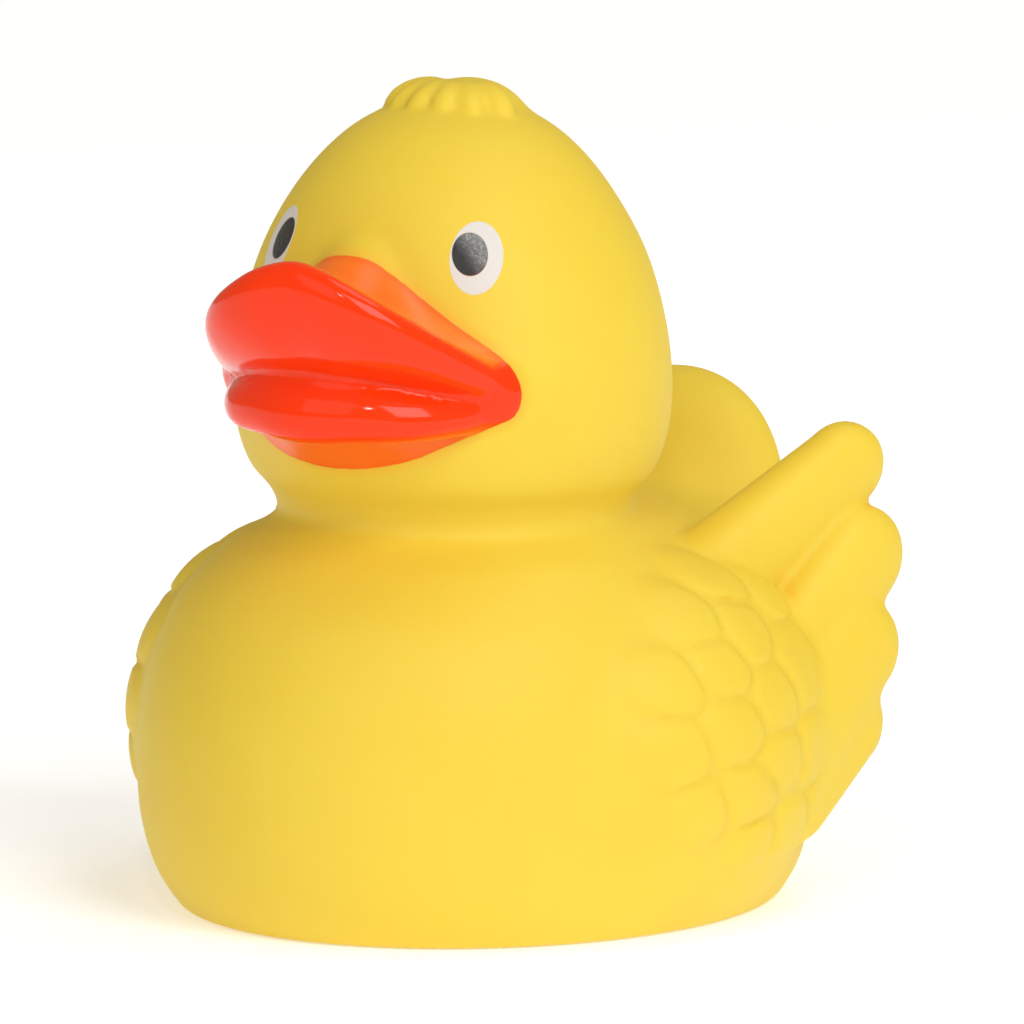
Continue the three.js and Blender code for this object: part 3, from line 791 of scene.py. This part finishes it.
def vinyl_skin(colours, shift):
    """Soft yellow vinyl with a sprayed enamel bill and stamped eyes.

    The vinyl is satin with a fine cast grain. Where the form closes in, its yellow is deepened to
    orange as painted shade.
    Inside the bill's edge the enamel is glossy, and thins to orange in the hollow behind the rim
    and under the chin. The eyes are ovals in a plane laid on the left side and mirrored by the size
    of x. On the left eye the pupil's black is painted paler towards its rear in speckles, a painted
    sheen that stands in for a reflection in its gloss. Grain is given in waves to the metre, edges in
    millimetres.
    """
    finish = Finish("vinyl_skin")
    place = finish.place()
    names = ("closed_in", "bill_margin", "thin_paint")
    closed, margin, thin = (finish.amount(name) for name in names)

    cloud = finish.grain(place, CLOUDS)
    speck = finish.grain(place, CAST_GRAIN, 3.0)
    # Painted shade: the yellow is deepened to orange where the form closes in, in creases and
    # hollows.
    yellow = finish.mixed(colours.vinyl, colours.vinyl_painted_shade, closed.eased(0.25, 1.0) * 0.75)
    yellow = finish.mixed(yellow, colours.vinyl_pale, cloud.eased(0.35, 0.8) * 0.25)

    margin_here = margin + (finish.grain(place, EDGE_WAVES) * EDGE_WOBBLE - EDGE_WOBBLE / 2)
    painted = margin_here.eased(-PAINT_FADE, PAINT_FADE)
    mist = margin_here.eased(-MIST_REACH, 0.0) * 0.22
    enamel = finish.mixed(colours.bill, colours.bill_thin, thin)
    enamel = finish.mixed(enamel, colours.bill_deep, margin.eased(GATHER_REACH, 0.0) * 0.3)
    skin = finish.mixed(yellow, colours.bill_thin, mist)
    skin = finish.mixed(skin, enamel, painted)

    x, y, z = (finish.along(place, axis) for axis in "XYZ")
    mirrored = finish.node("ShaderNodeCombineXYZ", inputs={0: x.maths("ABSOLUTE"), 1: y, 2: z})
    middle = Vector(EYE_MIDDLE) * MM + shift
    eye = finish.node("ShaderNodeMapping", {"vector_type": "TEXTURE"},
                      {"Vector": mirrored, "Location": middle, "Rotation": eye_turn()})
    at_face = finish.along(eye, "Z").maths("ABSOLUTE").maths("LESS_THAN", EYE_DEPTH * MM)
    white_gap = oval_gap(eye, (0, 0), EYE_SIZE, EYE_TILT)
    white = (0 - white_gap).eased(-WHITE_FADE, WHITE_FADE) * at_face
    pupil_gap = oval_gap(eye, PUPIL_PLACE, PUPIL_SIZE, PUPIL_TILT)
    pupil = (0 - pupil_gap).eased(-PUPIL_FADE, PUPIL_FADE) * at_face
    print_edge = oval_gap(eye, RIM_PLACE, PUPIL_SIZE, PUPIL_TILT)
    rim = (0 - print_edge).eased(-WHITE_FADE, WHITE_FADE) * at_face * white
    stipple = finish.grain(place, STIPPLE, 3.0, 0.6)
    skin = finish.mixed(skin, colours.eye_white, white)
    skin = finish.mixed(skin, colours.pupil_rim, rim)
    # Painted sheen: on the left eye only, the pupil's black is paled towards its rear in stippled
    # speckles, in place of a reflection in its gloss.
    rearward = finish.along(eye, "X") / MM + finish.along(eye, "Y") / MM * 0.6
    painted_sheen = rearward.eased(-1.6, 0.9) * x.maths("GREATER_THAN", 0)
    painted_sheen = painted_sheen * (0.45 + stipple.eased(0.42, 0.68) * 0.55)
    ink_and_sheen = finish.mixed(colours.pupil, colours.pupil_sheen, painted_sheen)
    skin = finish.mixed(skin, ink_and_sheen, pupil)

    plain = (1 - painted) * (1 - white)
    rough = VINYL_ROUGH + cloud * CLOUD_ROUGH - painted * ENAMEL_SMOOTH
    rough = rough + painted * thin * THIN_ROUGH - white * PRINT_SMOOTH - pupil * PRINT_SMOOTH
    grain = speck * plain * 0.35 + painted * 1.2 + white * 0.8 + pupil * 0.8
    normal = finish.bumped(grain, GRAIN_DEPTH)
    normal = finish.bumped(stipple * pupil, STIPPLE_DEPTH, normal)
    ripple = finish.grain(place, RIPPLES, 1.0)
    normal = finish.bumped(ripple * painted, RIPPLE_DEPTH, normal)
    return finish.shade(Base_Color=skin, Roughness=rough, Normal=normal, IOR=1.5,
                        Specular_IOR_Level=0.26, Subsurface_Weight=0.25,
                        Subsurface_Radius=(1.0, 0.55, 0.12), Subsurface_Scale=0.0022)


def squeaker_plastic(colours):
    """Hard milky plastic with moulded grain and faint dust in cloudy patches."""
    finish = Finish("squeaker_plastic")
    place = finish.place()
    cloud, speck = finish.grain(place, 400.0), finish.grain(place, 3000.0)
    colour = finish.mixed(colours.squeaker, colours.squeaker_dust, cloud.eased(0.45, 0.8) * 0.4)
    normal = finish.bumped(speck, 0.00002)
    return finish.shade(Base_Color=colour, Roughness=0.35 + cloud * 0.2, Normal=normal,
                        Subsurface_Weight=0.2, Subsurface_Radius=(1.0, 1.0, 0.9),
                        Subsurface_Scale=0.001)


def reed_metal(colours):
    """Thin rolled metal: fine lines along the reed."""
    finish = Finish("reed_metal")
    place = finish.place()
    lines = finish.node("ShaderNodeMapping", inputs={"Vector": place, "Scale": (1, 0.05, 1)})
    rolled = finish.grain(lines, 9000.0, 2.0)
    return finish.shade(Base_Color=colours.reed, Metallic=1.0, Roughness=0.28 + rolled * 0.2,
                        Normal=finish.bumped(rolled, 0.000005))


def studio_floor(colours):
    """Matt pale card that glows a little, as if lit from behind."""
    finish = Finish("studio_floor")
    return finish.shade(Base_Color=colours.floor, Roughness=0.9, Specular_IOR_Level=0.1,
                        Emission_Color=colours.floor, Emission_Strength=FLOOR_GLOW)


# ---------------------------------------------------------------- what a user may change

def colour_property(name, description, default):
    """A colour that a user may change."""
    return FloatVectorProperty(name=name, description=description, default=default, subtype="COLOR",
                               size=3, min=0, max=1)


def length_property(name, description, default):
    """A length in metres that a user may change."""
    return FloatProperty(name=name, description=description, default=default, unit="LENGTH",
                         precision=5)


def power_property(name, description, default):
    """A light's power in watts that a user may change."""
    return FloatProperty(name=name, description=description, default=default, unit="POWER")


def angle_property(name, description, degrees):
    """An angle that a user may change."""
    return FloatProperty(name=name, description=description, default=math.radians(degrees),
                         subtype="ANGLE")


class DuckSizes(bpy.types.PropertyGroup):
    """Sizes of the vinyl skin."""
    skin_step: length_property("Skin step", "Spacing of the skin's points", 0.555 * MM)
    wall: length_property("Wall", "Thickness of the vinyl", WALL * MM)
    recess: length_property("Recess", "How far the base lies inside its foot ring", RECESS * MM)
    hole_radius: length_property("Hole radius", "Half the width of the squeaker's hole",
                                 HOLE_RADIUS * MM)


class DuckColours(bpy.types.PropertyGroup):
    """Colours of the vinyl, the paint, the squeaker and the studio."""
    vinyl: colour_property("Vinyl", "Yellow of the skin", (0.80, 0.585, 0.052))
    vinyl_pale: colour_property("Pale vinyl", "Yellow of the faint clouds", (0.82, 0.66, 0.085))
    # Painted shade of the yellow in creases and hollows.
    vinyl_painted_shade: colour_property("Deep vinyl", "Painted shade of the yellow in the hollows", (0.82, 0.42, 0.012))
    bill: colour_property("Bill", "Enamel of the bill", (0.93, 0.042, 0.003))
    bill_thin: colour_property("Thin enamel", "Enamel where it lies thin", (0.95, 0.26, 0.018))
    bill_deep: colour_property("Deep enamel", "Enamel gathered at its edge", (0.9, 0.06, 0.004))
    eye_white: colour_property("Eye white", "Printed white of the eye", (0.70, 0.67, 0.64))
    pupil: colour_property("Pupil", "Printed black of the eye", (0.028, 0.028, 0.03))
    # Painted sheen on the left pupil's black.
    pupil_sheen: colour_property("Pale pupil", "Painted sheen on the black", (0.36, 0.36, 0.37))
    pupil_rim: colour_property("Pupil rim", "Colour that shows round the black", (0.25, 0.09, 0.03))
    squeaker: colour_property("Squeaker", "Plastic of the squeaker", (0.82, 0.80, 0.73))
    squeaker_dust: colour_property("Squeaker dust", "Dust on the squeaker", (0.62, 0.57, 0.47))
    reed: colour_property("Reed", "Metal of the reed plate", (0.78, 0.62, 0.36))
    floor: colour_property("Floor", "Pale card under the duck", (0.9, 0.91, 0.94))


class DuckStudio(bpy.types.PropertyGroup):
    """Camera and lights."""
    azimuth: angle_property("Azimuth", "Camera's bearing, from the front to the duck's left", 30)
    elevation: angle_property("Elevation", "Camera's height as an angle", 8)
    roll: angle_property("Roll", "Camera's turn about its own axis", 1.0)
    distance: length_property("Distance", "From the camera to the duck", 1.4)
    field: length_property("Field", "Width of the view at the duck", 0.0957 * 1.024)
    aim: FloatVectorProperty(name="Aim", description="Middle of the view, from the base's middle",
                             default=(-0.0003, 0.0040, 0.0364), subtype="TRANSLATION")
    room: FloatProperty(name="Room light", description="Strength of the light from all round",
                        default=0.34, min=0)
    key: power_property("Key light", "Power of the large soft light on the duck's left", 89.0)
    fill: power_property("Fill light", "Power of the large soft light in front", 17.0)
    glint: power_property("Glint light", "Power of the small light that the enamel mirrors", 11.0)
    top: power_property("Top light", "Power of the soft light above", 16.0)


# ---------------------------------------------------------------- operators

class DUCK_OT_skin(bpy.types.Operator):
    """Builds the vinyl duck with its painted bill and eyes"""
    bl_idname = "duck.skin"
    bl_label = "Vinyl Skin"

    def execute(self, context):
        sizes, colours = context.scene.duck_sizes, context.scene.duck_colours
        points, faces = skin_surface(sizes.skin_step / MM)
        skin = new_piece("vinyl_duck", points, faces)
        cut_out(skin, new_piece("hollow", *hollow_surface(sizes)))
        points = points_of(skin.data)
        ways = slope(points)
        ways /= np.maximum(np.linalg.norm(ways, axis=1, keepdims=True), 1e-6)
        closed = hollow_amount(points, ways, CLOSED_REACH)
        skin.data.shade_smooth()
        give_amounts(skin.data, "bill_margin", paint_margin(points))
        give_amounts(skin.data, "closed_in", closed)
        give_amounts(skin.data, "thin_paint", thin_paint(points, closed))
        low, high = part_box("duck_body")
        own_low, own_high = Vector(points.min(0) * MM), Vector(points.max(0) * MM)
        shift = (low + high - own_low - own_high) / 2
        shift.z = low.z
        skin.data.transform(Matrix.Translation(shift) @ Matrix.Scale(MM, 4))
        skin.data.materials.append(vinyl_skin(colours, shift))
        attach(skin, "root")
        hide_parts("duck_body")
        return {"FINISHED"}


class DUCK_OT_squeaker(bpy.types.Operator):
    """Finishes the squeaker's cup, reed plate and ring"""
    bl_idname = "duck.squeaker"
    bl_label = "Squeaker"

    def execute(self, context):
        colours = context.scene.duck_colours
        plastic, metal = squeaker_plastic(colours), reed_metal(colours)
        finishes = {"squeaker_cup": plastic, "squeaker_ring": plastic, "squeaker_reed_plate": metal}
        for node, finish in finishes.items():
            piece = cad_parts[node]
            piece.data.materials.clear()
            piece.data.materials.append(finish)
        return {"FINISHED"}


class DUCK_OT_studio(bpy.types.Operator):
    """Lays the floor and sets the lights and the camera"""
    bl_idname = "duck.studio"
    bl_label = "Studio"

    def execute(self, context):
        studio, colours = context.scene.duck_studio, context.scene.duck_colours
        low, high = CAD_BOX
        base = Vector(((low.x + high.x) / 2, (low.y + high.y) / 2, low.z))
        corners = [base + Vector((FLOOR_REACH * i, FLOOR_REACH * j, -FLOOR_GAP))
                   for i, j in ((-1, -1), (1, -1), (1, 1), (-1, 1))]
        floor = new_piece("floor", corners, [[0, 1, 2, 3]], smooth=False)
        floor.data.materials.append(studio_floor(colours))
        self.light_room(context.scene, studio.room)
        for name, (offset, width) in SOFT_LIGHTS.items():
            self.soft_light(name, base, offset, width, getattr(studio, name))
        self.set_camera(context.scene, studio, base)
        return {"FINISHED"}

    def light_room(self, scene, strength):
        """Even warm white light from all round."""
        world = bpy.data.worlds.new("room")
        world.use_nodes = True
        light = world.node_tree.nodes["Background"].inputs
        light["Color"].default_value = ROOM_COLOUR
        light["Strength"].default_value = strength
        scene.world = world
        scene.view_settings.view_transform = "Standard"

    def soft_light(self, name, base, offset, width, power):
        """A square area light that faces the duck's middle."""
        lamp = bpy.data.lights.new(name, "AREA")
        lamp.size = width
        lamp.energy = power
        holder = bpy.data.objects.new(name, lamp)
        bpy.context.scene.collection.objects.link(holder)
        holder.location = base + Vector(offset)
        towards = base + Vector(LIGHTS_AIM) - holder.location
        holder.rotation_euler = towards.to_track_quat("-Z", "Y").to_euler()

    def set_camera(self, scene, studio, base):
        """Long lens that looks at the aim from the azimuth and elevation."""
        a, e, r = studio.azimuth, studio.elevation, studio.roll
        right = Vector((math.cos(a), math.sin(a), 0))
        back = Vector((math.sin(a) * math.cos(e), -math.cos(a) * math.cos(e), math.sin(e)))
        up = back.cross(right)
        right, up = right * math.cos(r) + up * math.sin(r), up * math.cos(r) - right * math.sin(r)
        lens = bpy.data.cameras.new("camera")
        lens.lens = lens.sensor_width * studio.distance / studio.field
        camera = bpy.data.objects.new("camera", lens)
        scene.collection.objects.link(camera)
        camera.location = base + Vector(studio.aim) + back * studio.distance
        camera.rotation_euler = Matrix((right, up, back)).transposed().to_euler()
        scene.camera = camera


class DUCK_PT_panel(bpy.types.Panel):
    """Lists the duck's sizes, colours and pieces"""
    bl_idname = "DUCK_PT_panel"
    bl_label = "Duck"
    bl_space_type = "VIEW_3D"
    bl_region_type = "UI"
    bl_category = "Duck"

    def draw(self, context):
        layout = self.layout
        for group, operator in PANEL_ROWS:
            box = layout.box()
            settings = getattr(context.scene, group)
            for name in type(settings).__annotations__:
                box.prop(settings, name)
            box.operator(operator)


PANEL_ROWS = (("duck_sizes", "duck.skin"), ("duck_colours", "duck.squeaker"),
              ("duck_studio", "duck.studio"))
GROUPS = {"duck_sizes": DuckSizes, "duck_colours": DuckColours, "duck_studio": DuckStudio}
CLASSES = (*GROUPS.values(), DUCK_OT_skin, DUCK_OT_squeaker, DUCK_OT_studio, DUCK_PT_panel)


def register():
    for kind in CLASSES:
        bpy.utils.register_class(kind)
    for name, group in GROUPS.items():
        setattr(bpy.types.Scene, name, PointerProperty(type=group))


def unregister():
    for name in GROUPS:
        delattr(bpy.types.Scene, name)
    for kind in reversed(CLASSES):
        bpy.utils.unregister_class(kind)


def main():
    """Builds everything in order."""
    register()
    bpy.ops.duck.skin()
    bpy.ops.duck.squeaker()
    bpy.ops.duck.studio()


if __name__ == "__main__":
    main()
